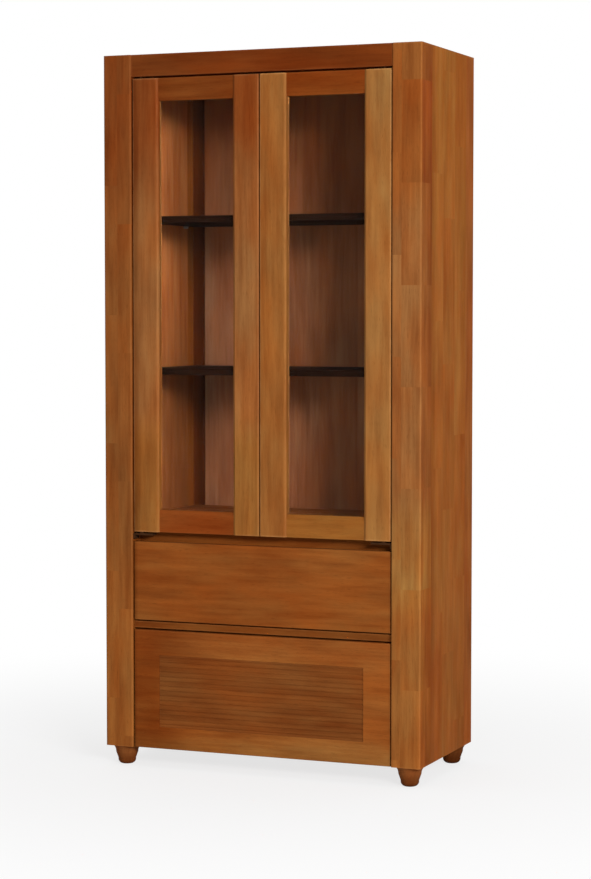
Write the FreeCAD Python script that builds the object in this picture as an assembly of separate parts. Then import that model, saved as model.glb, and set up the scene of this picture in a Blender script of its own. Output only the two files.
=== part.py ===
import FreeCAD, Part
import os

from FreeCAD import Vector

# A tall wooden bookcase: two glazed doors over two drawers, on four turned feet.
# Millimetres. The origin is on the floor under the middle of the case,
# +X points to the right, +Y to the back and +Z up.

# Overall sizes
width = 850.0
depth = 400.0
height = 1800.0
foot_height = 50.0

# Hollow side boards: solid posts at the front and rear, skins on core battens between them
side_thickness = 76.0
front_post_depth = 76.0
rear_post_depth = 64.0
outer_skin_thickness = 6.0
inner_skin_thickness = 12.0
core_batten_height = 40.0
core_batten_count = 5
post_corner_radius = 5.0
post_edge_radius = 4.5

# Heights of the front, from the feet upwards; the doors take what is left
lower_front_height = 301.5
drawer_gap = 25.0
upper_front_height = 199.5
gap_below_doors = 25.0
gap_above_doors = 5.0
top_rail_height = 55.0

# Gaps and setbacks of the front, measured from the faces of the posts
front_setback = 4.0
front_side_gap = 3.0
door_meeting_gap = 3.0
top_rail_setback = 4.0
cross_rail_setback = 42.0
front_edge_radius = 3.0

# Boards of the case
rail_thickness = 22.0
top_panel_thickness = 18.0
ceiling_thickness = 12.0
cabinet_floor_thickness = 18.0
cabinet_floor_above_door_foot = 39.0
bottom_panel_thickness = 18.0
bottom_panel_rise = 14.0
under_door_rail_height = 77.0
drawer_rail_setback = 12.0
drawer_rail_reveal = 3.5
back_panel_thickness = 6.0
back_panel_inset = 9.0
back_batten_width = 28.0
back_batten_depth = 14.0

# Shelves and their pegs
shelf_lifts = (0.0, 10.5)
shelf_thickness = 16.0
shelf_setback = 45.0
shelf_clearance = 1.5
shelf_edge_radius = 2.0
peg_inset = 20.0
peg_hole_radius = 2.5
peg_hole_depth = 10.0
peg_head_radius = 4.5
peg_head_length = 10.0
peg_flat_height = 2.0

# Turned feet
foot_inset_x = 40.0
foot_inset_y = 40.0
foot_base_radius = 12.0
foot_waist_radius = 22.5
foot_neck_radius = 28.5
foot_top_radius = 38.0
foot_waist_share = 0.28
foot_neck_share = 0.62
foot_base_arc_shares = (0.8, 0.35)
foot_cove_arc_shares = (0.3, 0.6)
foot_bolt_radius = 4.0
foot_bolt_in_foot = 25.0
foot_bolt_in_post = 35.0

# Door frames
door_thickness = 24.0
stile_width = 70.0
door_rail_height = 56.5
stile_bevel_width = 6.0
stile_bevel_depth = 5.0
rail_bevel_width = 10.0
rail_bevel_depth = 4.0
tenon_length = 30.0
tenon_thickness = 7.0
tenon_setback = 4.0
tenon_shoulder = 10.0

# Glass and the beads that hold it in its rebate
rebate_width = 8.0
rebate_depth = 11.0
glass_thickness = 4.0
glass_edge_clearance = 1.0
bead_edge_radius = 2.0

# Door pivots: pins on the case, sockets in the ends of the hinge stiles
pivot_inset = 20.0
pivot_setback = 8.0
pivot_pin_radius = 3.0
pivot_running_clearance = 0.05
pivot_pin_reach = 9.0
pivot_tip_clearance = 2.0
pivot_float = 0.2
pivot_shoulder_radius = 6.0
socket_plate_length = 34.0
socket_plate_width = 10.0
socket_plate_thickness = 2.5
socket_barrel_radius = 4.5
socket_end_wall = 1.0
pivot_plate_length = 50.0
pivot_plate_width = 13.0
pivot_plate_thickness = 3.0
pivot_bracket_length = 55.0
pivot_bracket_width = 22.0
pivot_bracket_thickness = 5.0
pivot_bracket_drop = 4.0
pivot_bracket_height = 15.0
screw_head_radius = 3.5
screw_head_height = 2.0
screw_shank_radius = 1.75
screw_length = 18.0
screw_edge_distance = 5.0

# Magnetic catches under the ceiling and their strike plates on the doors
catch_length = 40.0
catch_depth = 12.0
catch_height = 24.0
catch_from_middle = 8.0
catch_air_gap = 0.3
strike_thickness = 1.5
strike_margin = 4.0
strike_height = 12.0
strike_below_door_top = 2.0

# Drawers
drawer_front_thickness = 20.0
drawer_side_thickness = 15.0
drawer_back_thickness = 15.0
drawer_bottom_thickness = 6.0
drawer_bottom_rise = 10.0
drawer_groove_depth = 7.0
drawer_box_depth = 340.0
drawer_box_drop = 30.0
upper_box_rise = 14.0
lower_box_rise = 36.0

# Reeded panel let into the lower drawer front
reed_panel_side_margin = 70.0
reed_panel_top_margin = 62.5
reed_panel_bottom_margin = 56.0
reed_pocket_depth = 8.0
reed_panel_thickness = 6.0
reed_count = 15
reed_groove_width = 5.0
reed_groove_depth = 1.6

# Three-part telescopic drawer slides
slide_space = 13.0
slide_height = 45.0
slide_sheet = 1.5
slide_clearance = 0.4
slide_lip_gap = 2.0
slide_setback = 4.0

# Working values
cut_overrun = 1.0
same_place = 0.001

# Planes that the pieces share
case_front = -depth / 2
case_back = depth / 2
case_z = (foot_height, height)
side_outer = width / 2
side_inner = side_outer - side_thickness
side_x = (side_inner, side_outer)
opening_x = (-side_inner, side_inner)
front_post_back = case_front + front_post_depth
rear_post_front = case_back - rear_post_depth
skin_y = (front_post_back, rear_post_front)
back_panel_front = case_back - back_panel_inset - back_panel_thickness
front_face = case_front + front_setback
front_x = side_inner - front_side_gap
lower_front_z = (foot_height, foot_height + lower_front_height)
upper_front_bottom = lower_front_z[1] + drawer_gap
upper_front_z = (upper_front_bottom, upper_front_bottom + upper_front_height)
door_bottom = upper_front_z[1] + gap_below_doors
ceiling_z = height - top_rail_height
door_top = ceiling_z - gap_above_doors
door_back = front_face + door_thickness
door_rail_front = front_face + stile_bevel_depth
rebate_front = door_back - rebate_depth
door_meeting_x = door_meeting_gap / 2
hinge_stile_x = (front_x - stile_width, front_x)
meeting_stile_x = (door_meeting_x, door_meeting_x + stile_width)
glass_x = (meeting_stile_x[1], hinge_stile_x[0])
glass_z = (door_bottom + door_rail_height, door_top - door_rail_height)
cabinet_floor_top = door_bottom + cabinet_floor_above_door_foot
top_rail_front = case_front + top_rail_setback
top_rail_back = top_rail_front + rail_thickness
cross_rail_front = case_front + cross_rail_setback
cross_rail_back = cross_rail_front + rail_thickness
pivot_x = front_x - pivot_inset
pivot_y = front_face + pivot_setback
foot_x = side_outer - foot_inset_x
foot_y = case_back - foot_inset_y
drawer_front_back = front_face + drawer_front_thickness
drawer_box_back = drawer_front_back + drawer_box_depth
drawer_side_outer = side_inner - slide_space
drawer_side_inner = drawer_side_outer - drawer_side_thickness


def block(x_span, y_span, z_span):
    """A box between the given low and high values of each axis."""
    sizes = [high - low for low, high in (x_span, y_span, z_span)]
    return Part.makeBox(*sizes, Vector(x_span[0], y_span[0], z_span[0]))


def across(half_width):
    """A span that is centred on the middle of the case."""
    return (-half_width, half_width)


def grown(span, amount):
    """A span made longer by the same amount at both ends."""
    return (span[0] - amount, span[1] + amount)


def about(middle, length):
    """A span of the given length, centred on a place."""
    return (middle - length / 2, middle + length / 2)


def prism(points, direction):
    """A closed outline swept in a straight line."""
    outline = Part.makePolygon(points + points[:1])
    return Part.Face(outline).extrude(direction)


def mirrored(shape):
    """The same piece on the other side of the case."""
    return shape.mirror(Vector(0, 0, 0), Vector(1, 0, 0))


def both_sides(shapes):
    """The given right-hand solids and their left-hand twins as one group."""
    return Part.makeCompound(shapes + [mirrored(shape) for shape in shapes])


def lies_at(edge, place):
    """Whether both ends of an edge have the coordinates that place names."""
    return all(
        abs(getattr(vertex.Point, axis) - value) < same_place
        for vertex in edge.Vertexes
        for axis, value in place.items()
    )


def eased(shape, radius, *places):
    """Round the edges that lie at the given places."""
    chosen = [edge for edge in shape.Edges if any(lies_at(edge, place) for place in places)]
    return shape.makeFillet(radius, chosen)


def upright(radius, x, y, z_span):
    """A vertical cylinder."""
    return Part.makeCylinder(radius, z_span[1] - z_span[0], Vector(x, y, z_span[0]))


def screw(head_face, direction):
    """A countersunk wood screw, given the middle of its head and the way it points."""
    head = Part.makeCone(screw_head_radius, screw_shank_radius, screw_head_height, head_face, direction)
    neck = head_face + direction * screw_head_height
    shank = Part.makeCylinder(screw_shank_radius, screw_length - screw_head_height, neck, direction)
    return head.fuse(shank).removeSplitter()


def foot_bolt(y):
    """The dowel bolt that holds a right-hand foot to the case above it."""
    bolt_z = (foot_height - foot_bolt_in_foot, foot_height + foot_bolt_in_post)
    return upright(foot_bolt_radius, foot_x, y, bolt_z)


def turned_foot(y):
    """A right-hand foot, turned with a rounded base and a cove below its top."""
    waist_z = foot_height * foot_waist_share
    neck_z = foot_height * foot_neck_share
    base_out, base_up = foot_base_arc_shares
    cove_out, cove_up = foot_cove_arc_shares
    base = Vector(foot_base_radius, 0, 0)
    base_mid = Vector(
        foot_base_radius + (foot_waist_radius - foot_base_radius) * base_out, 0, waist_z * base_up
    )
    waist = Vector(foot_waist_radius, 0, waist_z)
    neck = Vector(foot_neck_radius, 0, neck_z)
    cove_mid = Vector(
        foot_neck_radius + (foot_top_radius - foot_neck_radius) * cove_out,
        0,
        neck_z + (foot_height - neck_z) * cove_up,
    )
    top = Vector(foot_top_radius, 0, foot_height)
    axis_top = Vector(0, 0, foot_height)
    axis_base = Vector(0, 0, 0)
    outline = Part.Wire([
        Part.makeLine(axis_base, base),
        Part.Arc(base, base_mid, waist).toShape(),
        Part.makeLine(waist, neck),
        Part.Arc(neck, cove_mid, top).toShape(),
        Part.makeLine(top, axis_top),
        Part.makeLine(axis_top, axis_base),
    ])
    foot = Part.Face(outline).revolve(axis_base, Vector(0, 0, 1))
    foot.translate(Vector(foot_x, y, 0))
    return foot.cut(foot_bolt(y))


def bracket_screws():
    """The right-hand screws of the bottom pivot bracket, driven sideways into the post."""
    face_x = side_inner - pivot_bracket_thickness
    low_z = bracket_z()[0] + screw_edge_distance
    places = grown(bracket_y(), -screw_edge_distance)
    return [screw(Vector(face_x, y, low_z), Vector(1, 0, 0)) for y in places]


def plate_screws():
    """The right-hand screws of the top pivot plate, driven up into the top rail."""
    places = grown(plate_x(), -screw_edge_distance)
    return [screw(Vector(x, pivot_plate_y(), ceiling_z), Vector(0, 0, 1)) for x in places]


def plate_x():
    """Where the top pivot plate lies under the top rail."""
    return (front_x - pivot_plate_length, front_x)


def pivot_plate_y():
    """The middle line of the top pivot plate, on the middle line of the top rail."""
    return (top_rail_front + top_rail_back) / 2


def bracket_y():
    """How far the bottom pivot bracket reaches from front to back."""
    return (pivot_y - pivot_shoulder_radius, pivot_y - pivot_shoulder_radius + pivot_bracket_width)


def bracket_z():
    """How far the bottom pivot bracket reaches in height, below the doors."""
    top = door_bottom - pivot_bracket_drop
    return (top - pivot_bracket_height, top)


def pivot_plate():
    """Plate of the top pivot before it is drilled, let into the foot of the top rail."""
    plate_z = (ceiling_z, ceiling_z + pivot_plate_thickness)
    return block(plate_x(), about(pivot_plate_y(), pivot_plate_width), plate_z)


def top_pivot():
    """Plate in the top rail with the pin that the right door hangs on."""
    plate = pivot_plate()
    pin = upright(pivot_pin_radius, pivot_x, pivot_y, (door_top - pivot_pin_reach, ceiling_z))
    pivot = plate.fuse(pin).removeSplitter()
    for each in plate_screws():
        pivot = pivot.cut(each)
    return pivot


def bottom_pivot():
    """Angle bracket on the post with the shouldered pin that the right door stands on."""
    low, high = bracket_z()
    bracket_x = (side_inner - pivot_bracket_length, side_inner)
    arm = block(bracket_x, bracket_y(), (high - pivot_bracket_thickness, high))
    leg = block((side_inner - pivot_bracket_thickness, side_inner), bracket_y(), (low, high))
    shoulder = upright(pivot_shoulder_radius, pivot_x, pivot_y, (high, door_bottom - pivot_float))
    pin = upright(pivot_pin_radius, pivot_x, pivot_y, (high, door_bottom + pivot_pin_reach))
    pivot = arm.fuse([leg, shoulder, pin]).removeSplitter()
    for each in bracket_screws():
        pivot = pivot.cut(each)
    return pivot


def front_post():
    """Right front post, with rounded front corners and a hole for the foot's bolt."""
    post = block(side_x, (case_front, front_post_back), case_z)
    post = eased(post, post_corner_radius, {"x": side_outer, "y": case_front})
    post = eased(post, post_edge_radius, {"x": side_inner, "y": case_front})
    post = post.cut(foot_bolt(-foot_y))
    for each in bracket_screws():
        post = post.cut(each)
    return post


def rear_post():
    """Right rear post."""
    post = block(side_x, (rear_post_front, case_back), case_z)
    post = eased(post, post_edge_radius, {"x": side_outer, "y": case_back})
    return post.cut(foot_bolt(foot_y))


def outer_skin():
    """Outside skin of the right side board, between the posts."""
    return block((side_outer - outer_skin_thickness, side_outer), skin_y, case_z)


def inner_skin():
    """Inside skin of the right side board, drilled for the shelf pegs."""
    skin = block((side_inner, side_inner + inner_skin_thickness), skin_y, case_z)
    for each in shelf_pegs():
        skin = skin.cut(each)
    return skin


def core_battens():
    """Cross battens inside the right side board, evenly spaced from bottom to top."""
    batten_x = (side_inner + inner_skin_thickness, side_outer - outer_skin_thickness)
    spacing = (height - foot_height - core_batten_height) / (core_batten_count - 1)
    starts = [foot_height + spacing * index for index in range(core_batten_count)]
    return [block(batten_x, skin_y, (start, start + core_batten_height)) for start in starts]


def shelf_tops():
    """Heights of the shelf tops: equal bays, with each shelf raised by its own lift."""
    count = len(shelf_lifts)
    bay = (ceiling_z - cabinet_floor_top - count * shelf_thickness) / (count + 1)
    step = bay + shelf_thickness
    return [cabinet_floor_top + step * (index + 1) + lift for index, lift in enumerate(shelf_lifts)]


def shelf_pegs():
    """The right-hand pegs, each with a flat top that a shelf lies on."""
    pegs = []
    for top in shelf_tops():
        seat = top - shelf_thickness
        for y in grown(skin_y, -peg_inset):
            pegs.append(shelf_peg(y, seat))
    return pegs


def shelf_peg(y, seat):
    """One peg in the right side board, with its flat at the given height."""
    axis_z = seat - peg_flat_height
    inwards = Vector(-1, 0, 0)
    shank_end = Vector(side_inner + peg_hole_depth, y, axis_z)
    shank = Part.makeCylinder(peg_hole_radius, peg_hole_depth, shank_end, inwards)
    head = Part.makeCylinder(peg_head_radius, peg_head_length, Vector(side_inner, y, axis_z), inwards)
    above = block(
        (side_inner - peg_head_length - cut_overrun, side_inner),
        about(y, 2 * (peg_head_radius + cut_overrun)),
        (seat, seat + peg_head_radius + cut_overrun),
    )
    return shank.fuse(head.cut(above)).removeSplitter()


def shelf(top):
    """One shelf board, notched around the battens in the rear corners."""
    shelf_front = case_front + shelf_setback
    half = side_inner - shelf_clearance
    board_z = (top - shelf_thickness, top)
    board = block(across(half), (shelf_front, back_panel_front - shelf_clearance), board_z)
    board = eased(board, shelf_edge_radius, {"y": shelf_front, "z": top})
    notch = block(
        (side_inner - back_batten_width - shelf_clearance, side_inner),
        (back_panel_front - back_batten_depth - shelf_clearance, back_panel_front),
        grown(board_z, cut_overrun),
    )
    return board.cut(notch).cut(mirrored(notch))


def top_rail():
    """Rail across the top of the front, between the posts."""
    rail = block(opening_x, (top_rail_front, top_rail_back), (ceiling_z, height))
    rail = eased(rail, front_edge_radius, {"y": top_rail_front, "z": ceiling_z})
    for each in [pivot_plate()] + plate_screws():
        rail = rail.cut(each).cut(mirrored(each))
    return rail


def top_panel():
    """Top board between the side boards."""
    return block(opening_x, (top_rail_back, back_panel_front), (height - top_panel_thickness, height))


def ceiling_panel():
    """Board that closes the cabinet above the books, level with the foot of the top rail."""
    return block(opening_x, (top_rail_back, back_panel_front), (ceiling_z, ceiling_z + ceiling_thickness))


def cabinet_floor():
    """Floor of the glazed cabinet, behind the rail below the doors."""
    floor_z = (cabinet_floor_top - cabinet_floor_thickness, cabinet_floor_top)
    return block(opening_x, (cross_rail_back, back_panel_front), floor_z)


def rail_below_doors():
    """Rail set back behind the finger gap between the doors and the upper drawer."""
    rail_z = (cabinet_floor_top - under_door_rail_height, cabinet_floor_top)
    rail = block(opening_x, (cross_rail_front, cross_rail_back), rail_z)
    return eased(rail, shelf_edge_radius, {"y": cross_rail_front, "z": cabinet_floor_top})


def rail_between_drawers():
    """Rail between the two drawers, a little behind their faces."""
    rail_front = case_front + drawer_rail_setback
    rail_z = (lower_front_z[1] + drawer_rail_reveal, upper_front_z[0] - drawer_rail_reveal)
    rail = block(opening_x, (rail_front, cross_rail_back), rail_z)
    return eased(rail, shelf_edge_radius, {"y": rail_front})


def bottom_panel():
    """Bottom board of the case, raised so that fingers can pull the lower drawer by its foot."""
    bottom = foot_height + bottom_panel_rise
    panel_z = (bottom, bottom + bottom_panel_thickness)
    return block(opening_x, (drawer_front_back + front_side_gap, back_panel_front), panel_z)


def back_panel():
    """Thin back board between the side boards."""
    return block(opening_x, (back_panel_front, back_panel_front + back_panel_thickness), case_z)


def back_batten():
    """Right-hand upright in the rear corner of the cabinet, which the back is fixed to."""
    return block(
        (side_inner - back_batten_width, side_inner),
        (back_panel_front - back_batten_depth, back_panel_front),
        (cabinet_floor_top, ceiling_z),
    )


def strike_x():
    """Where the right-hand strike plate lies, facing the middle of the catch."""
    return (
        catch_from_middle + strike_margin,
        catch_from_middle + catch_length - strike_margin,
    )


def door_catch():
    """Magnetic catch under the ceiling, just behind the right door's strike plate."""
    catch_front = door_back + strike_thickness + catch_air_gap
    return block(
        (catch_from_middle, catch_from_middle + catch_length),
        (catch_front, catch_front + catch_depth),
        (ceiling_z - catch_height, ceiling_z),
    )


def strike_plate():
    """Steel plate on the back of the right door, at the top of its meeting stile."""
    plate_top = door_top - strike_below_door_top
    plate_y = (door_back, door_back + strike_thickness)
    return block(strike_x(), plate_y, (plate_top - strike_height, plate_top))


def pivot_socket(end_z, inwards):
    """Bush and plate in the end of the right hinge stile; inwards is +1 or -1 along Z."""
    plate_end = end_z + inwards * socket_plate_thickness
    hole_end = end_z + inwards * (pivot_pin_reach + pivot_tip_clearance)
    barrel_end = hole_end + inwards * socket_end_wall
    plate = block(
        about(pivot_x, socket_plate_length), about(pivot_y, socket_plate_width), sorted((end_z, plate_end))
    )
    barrel = upright(socket_barrel_radius, pivot_x, pivot_y, sorted((end_z, barrel_end)))
    body = plate.fuse(barrel).removeSplitter()
    hole_radius = pivot_pin_radius + pivot_running_clearance
    hole = upright(hole_radius, pivot_x, pivot_y, sorted((end_z - inwards * cut_overrun, hole_end)))
    return body, body.cut(hole)


def door_rail(end_z, inwards):
    """Top or bottom rail of the right door, tenoned into both stiles."""
    sight_z = end_z + inwards * door_rail_height
    section = [
        (door_rail_front, end_z),
        (door_rail_front, sight_z - inwards * rail_bevel_width),
        (door_rail_front + rail_bevel_depth, sight_z),
        (rebate_front, sight_z),
        (rebate_front, sight_z - inwards * rebate_width),
        (door_back, sight_z - inwards * rebate_width),
        (door_back, end_z),
    ]
    outline = [Vector(glass_x[0], y, z) for y, z in section]
    body = prism(outline, Vector(glass_x[1] - glass_x[0], 0, 0))
    tenon_front = door_rail_front + tenon_setback
    tenon = block(
        grown(glass_x, tenon_length),
        (tenon_front, tenon_front + tenon_thickness),
        sorted((end_z + inwards * tenon_shoulder, sight_z - inwards * (rebate_width + tenon_shoulder))),
    )
    return body.fuse(tenon).removeSplitter()


def door_stile(outer_x, sight_x, rails):
    """One stile of the right door, bevelled towards the glass, rebated and mortised."""
    towards_outer = 1 if outer_x > sight_x else -1
    section = [
        (outer_x, front_face),
        (sight_x + towards_outer * stile_bevel_width, front_face),
        (sight_x, door_rail_front),
        (sight_x, door_back),
        (outer_x, door_back),
    ]
    outline = [Vector(x, y, door_bottom) for x, y in section]
    stile = prism(outline, Vector(0, 0, door_top - door_bottom))
    stile = eased(stile, front_edge_radius, {"x": outer_x, "y": front_face})
    rebate = block(
        sorted((sight_x - towards_outer * cut_overrun, sight_x + towards_outer * rebate_width)),
        (rebate_front, door_back + cut_overrun),
        grown(glass_z, rebate_width),
    )
    stile = stile.cut(rebate)
    for rail in rails:
        stile = stile.cut(rail)
    return stile


def glass_pane():
    """Glass of the right door, bedded in the rebate of its frame."""
    overlap = rebate_width - glass_edge_clearance
    return block(
        grown(glass_x, overlap), (rebate_front, rebate_front + glass_thickness), grown(glass_z, overlap)
    )


def glazing_beads():
    """Four strips behind the glass of the right door."""
    bead_y = (rebate_front + glass_thickness, door_back)
    low_x, high_x = glass_x
    low_z, high_z = glass_z
    long_z = grown(glass_z, rebate_width)
    beads = [
        eased(block((low_x - rebate_width, low_x), bead_y, long_z), bead_edge_radius,
              {"x": low_x, "y": door_back}),
        eased(block((high_x, high_x + rebate_width), bead_y, long_z), bead_edge_radius,
              {"x": high_x, "y": door_back}),
        eased(block(glass_x, bead_y, (low_z - rebate_width, low_z)), bead_edge_radius,
              {"z": low_z, "y": door_back}),
        eased(block(glass_x, bead_y, (high_z, high_z + rebate_width)), bead_edge_radius,
              {"z": high_z, "y": door_back}),
    ]
    return Part.makeCompound(beads)


def door_pieces():
    """Every piece of the right door, by name."""
    top_rail_piece = door_rail(door_top, -1)
    bottom_rail_piece = door_rail(door_bottom, 1)
    rails = [top_rail_piece, bottom_rail_piece]
    top_body, top_socket = pivot_socket(door_top, -1)
    bottom_body, bottom_socket = pivot_socket(door_bottom, 1)
    hinge_stile = door_stile(hinge_stile_x[1], hinge_stile_x[0], rails)
    return {
        "hinge_stile": hinge_stile.cut(top_body).cut(bottom_body),
        "meeting_stile": door_stile(meeting_stile_x[0], meeting_stile_x[1], rails),
        "top_rail": top_rail_piece,
        "bottom_rail": bottom_rail_piece,
        "glass": glass_pane(),
        "glazing_beads": glazing_beads(),
        "pivot_sockets": Part.makeCompound([top_socket, bottom_socket]),
        "strike_plate": strike_plate(),
    }


def box_z(front_z, box_rise):
    """How far a drawer's box reaches in height, inside the height of its front."""
    return (front_z[0] + box_rise, front_z[1] - drawer_box_drop)


def drawer_front(front_z):
    """Front board of a drawer, with eased edges all round its face."""
    board = block(across(front_x), (front_face, drawer_front_back), front_z)
    return eased(board, front_edge_radius, {"y": front_face})


def drawer_pieces(front_z, box_rise):
    """The boards of one drawer, by name, grooved for its bottom."""
    low, high = box_z(front_z, box_rise)
    back_front = drawer_box_back - drawer_back_thickness
    bottom = block(
        across(drawer_side_inner + drawer_groove_depth),
        (drawer_front_back - drawer_groove_depth, back_front + drawer_groove_depth),
        (low + drawer_bottom_rise, low + drawer_bottom_rise + drawer_bottom_thickness),
    )
    side = block((drawer_side_inner, drawer_side_outer), (drawer_front_back, drawer_box_back), (low, high))
    back = block(across(drawer_side_inner), (back_front, drawer_box_back), (low, high))
    return {
        "front": drawer_front(front_z).cut(bottom),
        "sides": both_sides([side.cut(bottom)]),
        "back": back.cut(bottom),
        "bottom": bottom,
    }


def reed_panel_spans():
    """Width and height of the reeded panel in the lower drawer front."""
    panel_x = across(front_x - reed_panel_side_margin)
    panel_z = (lower_front_z[0] + reed_panel_bottom_margin, lower_front_z[1] - reed_panel_top_margin)
    return panel_x, panel_z


def reed_pocket():
    """The pocket in the lower drawer front that the reeded panel is let into."""
    panel_x, panel_z = reed_panel_spans()
    return block(panel_x, (front_face - cut_overrun, front_face + reed_pocket_depth), panel_z)


def reeded_panel():
    """Panel with level grooves across its face, evenly spaced from bottom to top."""
    panel_x, panel_z = reed_panel_spans()
    panel_back = front_face + reed_pocket_depth
    panel_front = panel_back - reed_panel_thickness
    panel = block(panel_x, (panel_front, panel_back), panel_z)
    pitch = (panel_z[1] - panel_z[0]) / reed_count
    groove_x = grown(panel_x, cut_overrun)
    for index in range(reed_count):
        middle = panel_z[0] + pitch * (index + 0.5)
        low, high = about(middle, reed_groove_width)
        outline = [
            Vector(groove_x[0], panel_front, low),
            Vector(groove_x[0], panel_front + reed_groove_depth, middle),
            Vector(groove_x[0], panel_front, high),
        ]
        panel = panel.cut(prism(outline, Vector(groove_x[1] - groove_x[0], 0, 0)))
    return panel


def channel(web_x, lip_x, half_height, middle_z):
    """Sheet-steel channel with its web at one X and the lips of its flanges at another."""
    slide_y = (drawer_front_back + slide_setback, drawer_box_back)
    inner_half = half_height - slide_sheet
    step = slide_sheet if lip_x > web_x else -slide_sheet
    whole = block(sorted((web_x, lip_x)), slide_y, about(middle_z, 2 * half_height))
    hollow = block(
        sorted((web_x + step, lip_x + step)), grown(slide_y, cut_overrun), about(middle_z, 2 * inner_half)
    )
    return whole.cut(hollow)


def slide_pieces(middle_z):
    """The right-hand fixed, middle and drawer members of a slide, nested in each other."""
    nest = slide_sheet + slide_clearance
    lip_x = drawer_side_outer + slide_lip_gap
    fixed_half = slide_height / 2
    middle_half = fixed_half - nest
    drawer_half = middle_half - nest
    middle_web = side_inner - nest
    return (
        channel(side_inner, lip_x, fixed_half, middle_z),
        channel(middle_web, lip_x, middle_half, middle_z),
        channel(drawer_side_outer, middle_web - nest, drawer_half, middle_z),
    )


def save(name, shape):
    """Write one named piece."""
    shape.exportStep(os.path.join("parts", name + ".step"))


def save_pair(name, shape):
    """Write a right-hand piece and its left-hand twin."""
    save(name + "_right", shape)
    save(name + "_left", mirrored(shape))


def save_case():
    """Write the boards, posts, feet and shelves of the case."""
    save_pair("front_post", front_post())
    save_pair("rear_post", rear_post())
    save_pair("outer_side", outer_skin())
    save_pair("inner_side", inner_skin())
    save("side_core_battens", both_sides(core_battens()))
    save("top_rail", top_rail())
    save("top_panel", top_panel())
    save("ceiling_panel", ceiling_panel())
    save("cabinet_floor", cabinet_floor())
    save("rail_below_doors", rail_below_doors())
    save("rail_between_drawers", rail_between_drawers())
    save("bottom_panel", bottom_panel())
    save("back_panel", back_panel())
    save("back_battens", both_sides([back_batten()]))
    for name, top in zip(("lower_shelf", "upper_shelf"), shelf_tops()):
        save(name, shelf(top))
    save("shelf_pegs", both_sides(shelf_pegs()))
    for name, y in (("front_foot", -foot_y), ("rear_foot", foot_y)):
        save_pair(name, turned_foot(y))
    save("foot_bolts", both_sides([foot_bolt(-foot_y), foot_bolt(foot_y)]))


def save_fittings():
    """Write the metal fittings that are fixed to the case."""
    save("top_pivots", both_sides([top_pivot()]))
    save("bottom_pivots", both_sides([bottom_pivot()]))
    save("pivot_screws", both_sides(plate_screws() + bracket_screws()))
    save("door_catches", both_sides([door_catch()]))


def save_doors():
    """Write both doors, piece by piece."""
    for name, shape in door_pieces().items():
        save("right_door_" + name, shape)
        save("left_door_" + name, mirrored(shape))


def save_drawers():
    """Write both drawers and their slides."""
    fixed_members = []
    for name, front_z, box_rise in (
        ("upper", upper_front_z, upper_box_rise),
        ("lower", lower_front_z, lower_box_rise),
    ):
        pieces = drawer_pieces(front_z, box_rise)
        if name == "lower":
            pieces["front"] = pieces["front"].cut(reed_pocket())
            pieces["reeded_panel"] = reeded_panel()
        for piece_name, shape in pieces.items():
            save(name + "_drawer_" + piece_name, shape)
        fixed, middle, moving = slide_pieces(sum(box_z(front_z, box_rise)) / 2)
        fixed_members.append(fixed)
        save(name + "_slide_middles", both_sides([middle]))
        save(name + "_drawer_runners", both_sides([moving]))
    save("slide_channels", both_sides(fixed_members))


def main():
    os.makedirs("parts", exist_ok=True)
    save_case()
    save_fittings()
    save_doors()
    save_drawers()


main()
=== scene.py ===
"""Bookcase with glass doors.

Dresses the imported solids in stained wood, glass and metal, drives the small pins that hold the back panel
and the glazing beads, and sets a pale studio floor, soft lights and the camera.
"""

import math
from typing import NamedTuple

import bmesh
import bpy
from bpy.props import FloatProperty, FloatVectorProperty, IntProperty, PointerProperty
from bpy.types import Operator, Panel, PropertyGroup
from mathutils import Matrix, Vector


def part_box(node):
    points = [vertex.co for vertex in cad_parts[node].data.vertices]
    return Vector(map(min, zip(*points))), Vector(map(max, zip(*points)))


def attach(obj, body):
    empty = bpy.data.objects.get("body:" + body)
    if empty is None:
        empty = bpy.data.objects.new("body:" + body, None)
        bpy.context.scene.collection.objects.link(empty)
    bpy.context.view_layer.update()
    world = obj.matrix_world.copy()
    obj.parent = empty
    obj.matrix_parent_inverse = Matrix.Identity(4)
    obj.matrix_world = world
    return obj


bl_info = {
    "name": "Bookcase with glass doors",
    "version": (1, 0, 0),
    "blender": (4, 5, 0),
    "location": "3D View > Sidebar > Bookcase",
    "description": "Finishes the bookcase in stained wood, glass and metal, and sets its stage",
    "category": "Object",
}

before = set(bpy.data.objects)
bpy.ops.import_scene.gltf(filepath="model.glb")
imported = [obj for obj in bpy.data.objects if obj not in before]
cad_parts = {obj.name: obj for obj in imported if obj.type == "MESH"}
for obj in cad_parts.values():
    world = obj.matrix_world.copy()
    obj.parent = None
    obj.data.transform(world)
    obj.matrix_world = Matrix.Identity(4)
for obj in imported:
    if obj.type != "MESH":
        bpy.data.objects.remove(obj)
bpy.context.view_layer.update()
# Slack that takes up rounding errors
ROUNDING = 1e-6

# How a board lies: the axes across its face, through its thickness and along its grain
UPRIGHT_FRONT = ("X", "Y", "Z")
UPRIGHT_SIDE = ("Y", "X", "Z")
LEVEL_FRONT = ("Z", "Y", "X")
LEVEL_FLAT = ("Y", "Z", "X")
DEEP_SIDE = ("Z", "X", "Y")
# A plank width or block length, in metres, that no board reaches
UNDIVIDED = 10.0
# Moves a joined face so far off that none of its edges is rubbed or gets the painted highlight, in metres
FAR_AWAY = 1.0
# From the seed of one board to that of the next like it
NEXT_BOARD = 1.37

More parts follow.
